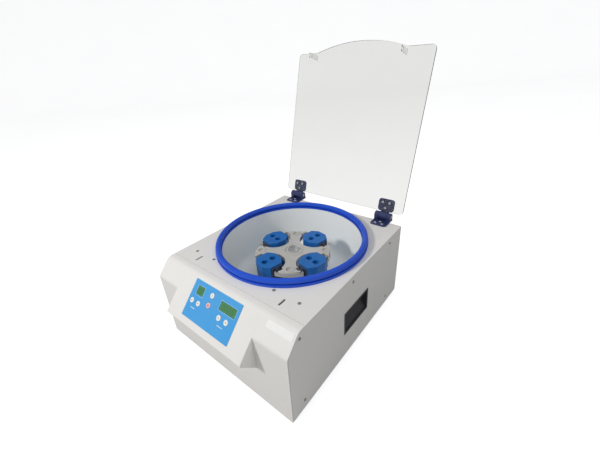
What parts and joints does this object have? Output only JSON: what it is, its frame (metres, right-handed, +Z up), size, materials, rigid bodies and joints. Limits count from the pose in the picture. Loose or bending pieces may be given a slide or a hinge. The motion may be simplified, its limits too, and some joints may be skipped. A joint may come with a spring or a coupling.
{
  "type": "cytocentrifuge",
  "caption": "Free-standing bench cytocentrifuge with a clear hinged lid, a round bowl, a swing-bucket rotor with blue inserts and a sloping control panel.",
  "frame": {"origin": "the middle of the box round the part with its lid open, at the level of the feet", "axes": "+Z up, -Y towards the operator and the sloping panel, +X to the operator's right"},
  "size_m": [0.3832, 0.5926, 0.6132],
  "materials": {
    "housing_paint": "smooth cream powder coat",
    "sheet_steel": "satin",
    "bright_steel": "bright",
    "rubber_black": "matt",
    "plate_white": "satin label",
    "membrane_blue": "printed film",
    "display_green": "dim liquid crystal",
    "board_green": "circuit board",
    "part_black": "moulded",
    "key_white": "smooth",
    "key_stop": "white with a red centre",
    "bowl_steel": "drawn",
    "gasket_blue": "smooth moulded",
    "grip_black": "textured",
    "hinge_navy": "satin paint",
    "lid_clear": "clear polycarbonate",
    "motor_grey": "satin",
    "rotor_cast": "fine cast",
    "cradle_dark": "dark anodised",
    "insert_blue": "anodised look",
    "switch_red": "smooth"
  },
  "bodies": {
    "housing": {"base_pan": "sheet_steel", "rubber_feet": "rubber_black", "top_cover": "housing_paint", "rear_panel": "housing_paint", "front_fascia": "housing_paint", "name_plate": "plate_white", "control_membrane": "membrane_blue", "time_display": "display_green", "speed_display": "display_green", "control_board": "board_green", "key_switches": "part_black", "bowl": "bowl_steel", "bowl_gasket": "gasket_blue", "shaft_seal": "rubber_black", "grip_left": "grip_black", "grip_right": "grip_black", "hinge_foot_left": "hinge_navy", "hinge_foot_right": "hinge_navy", "hinge_pins": "sheet_steel", "hinge_foot_screws": "bright_steel", "cover_screws": "bright_steel", "lock_guides": "part_black", "lock_solenoid": "part_black", "motor_housing": "motor_grey", "motor_bearings": "bright_steel", "motor_plate": "sheet_steel", "motor_mounts": "rubber_black", "power_supply": "sheet_steel", "drive_board": "board_green", "power_inlet": "part_black", "switch_frame": "part_black", "fuse_holder": "part_black"},
    "lid": {"lid_plate": "lid_clear", "hinge_leaf_left": "hinge_navy", "hinge_leaf_right": "hinge_navy", "lid_screws": "bright_steel", "lid_hooks": "lid_clear"},
    "rotor": {"motor_shaft": "bright_steel", "rotor_spider": "rotor_cast", "rotor_nut": "bright_steel", "trunnion_pins": "bright_steel"},
    "lock": {"lock_bar": "sheet_steel"},
    "power_rocker": {"power_switch": "switch_red"},
    "start_key_body": {"start_key": "key_white"},
    "stop_key_body": {"stop_key": "key_stop"},
    "time_up_key_body": {"time_up_key": "key_white"},
    "time_down_key_body": {"time_down_key": "key_white"},
    "speed_up_key_body": {"speed_up_key": "key_white"},
    "speed_down_key_body": {"speed_down_key": "key_white"},
    "bucket_a": {"cradle_a": "cradle_dark", "tube_insert_a": "insert_blue"},
    "bucket_b": {"cradle_b": "cradle_dark", "tube_insert_b": "insert_blue"},
    "bucket_c": {"cradle_c": "cradle_dark", "tube_insert_c": "insert_blue"},
    "bucket_d": {"cradle_d": "cradle_dark", "tube_insert_d": "insert_blue"}
  },
  "joints": [
    {"name": "lid_hinge", "type": "hinge", "parent": "housing", "child": "lid", "pos_m": [0, 0.18256, 0.2215], "axis": [1, 0, 0], "range_deg": [0, 105]},
    {"name": "rotor_spin", "type": "hinge", "parent": "housing", "child": "rotor", "pos_m": [0, -0.01544, 0.17], "axis": [0, 0, 1], "continuous": true},
    {"name": "bucket_a_swing", "type": "hinge", "parent": "rotor", "child": "bucket_a", "pos_m": [0.07007, -0.02969, 0.17], "axis": [-0.1994, -0.9799, 0], "range_deg": [0, 90]},
    {"name": "bucket_b_swing", "type": "hinge", "parent": "rotor", "child": "bucket_b", "pos_m": [0.01426, 0.05463, 0.17], "axis": [0.9799, -0.1994, 0], "range_deg": [0, 90]},
    {"name": "bucket_c_swing", "type": "hinge", "parent": "rotor", "child": "bucket_c", "pos_m": [-0.07007, -0.00118, 0.17], "axis": [0.1994, 0.9799, 0], "range_deg": [0, 90]},
    {"name": "bucket_d_swing", "type": "hinge", "parent": "rotor", "child": "bucket_d", "pos_m": [-0.01426, -0.0855, 0.17], "axis": [-0.9799, 0.1994, 0], "range_deg": [0, 90]},
    {"name": "start_key_press", "type": "slide", "parent": "housing", "child": "start_key_body", "axis": [0, 0.7254, -0.6884], "range_m": [0, 0.0005], "stiffness_N_per_m": 800, "springref_m": -0.0005},
    {"name": "stop_key_press", "type": "slide", "parent": "housing", "child": "stop_key_body", "axis": [0, 0.7254, -0.6884], "range_m": [0, 0.0005], "stiffness_N_per_m": 800, "springref_m": -0.0005},
    {"name": "time_up_key_press", "type": "slide", "parent": "housing", "child": "time_up_key_body", "axis": [0, 0.7254, -0.6884], "range_m": [0, 0.0005], "stiffness_N_per_m": 800, "springref_m": -0.0005},
    {"name": "time_down_key_press", "type": "slide", "parent": "housing", "child": "time_down_key_body", "axis": [0, 0.7254, -0.6884], "range_m": [0, 0.0005], "stiffness_N_per_m": 800, "springref_m": -0.0005},
    {"name": "speed_up_key_press", "type": "slide", "parent": "housing", "child": "speed_up_key_body", "axis": [0, 0.7254, -0.6884], "range_m": [0, 0.0005], "stiffness_N_per_m": 800, "springref_m": -0.0005},
    {"name": "speed_down_key_press", "type": "slide", "parent": "housing", "child": "speed_down_key_body", "axis": [0, 0.7254, -0.6884], "range_m": [0, 0.0005], "stiffness_N_per_m": 800, "springref_m": -0.0005},
    {"name": "power_switch_tilt", "type": "hinge", "parent": "housing", "child": "power_rocker", "pos_m": [0.078, 0.17456, 0.055], "axis": [-1, 0, 0], "range_deg": [0, 16]},
    {"name": "lock_slide", "type": "slide", "parent": "housing", "child": "lock", "axis": [1, 0, 0], "range_m": [0, 0.0055]}
  ]
}
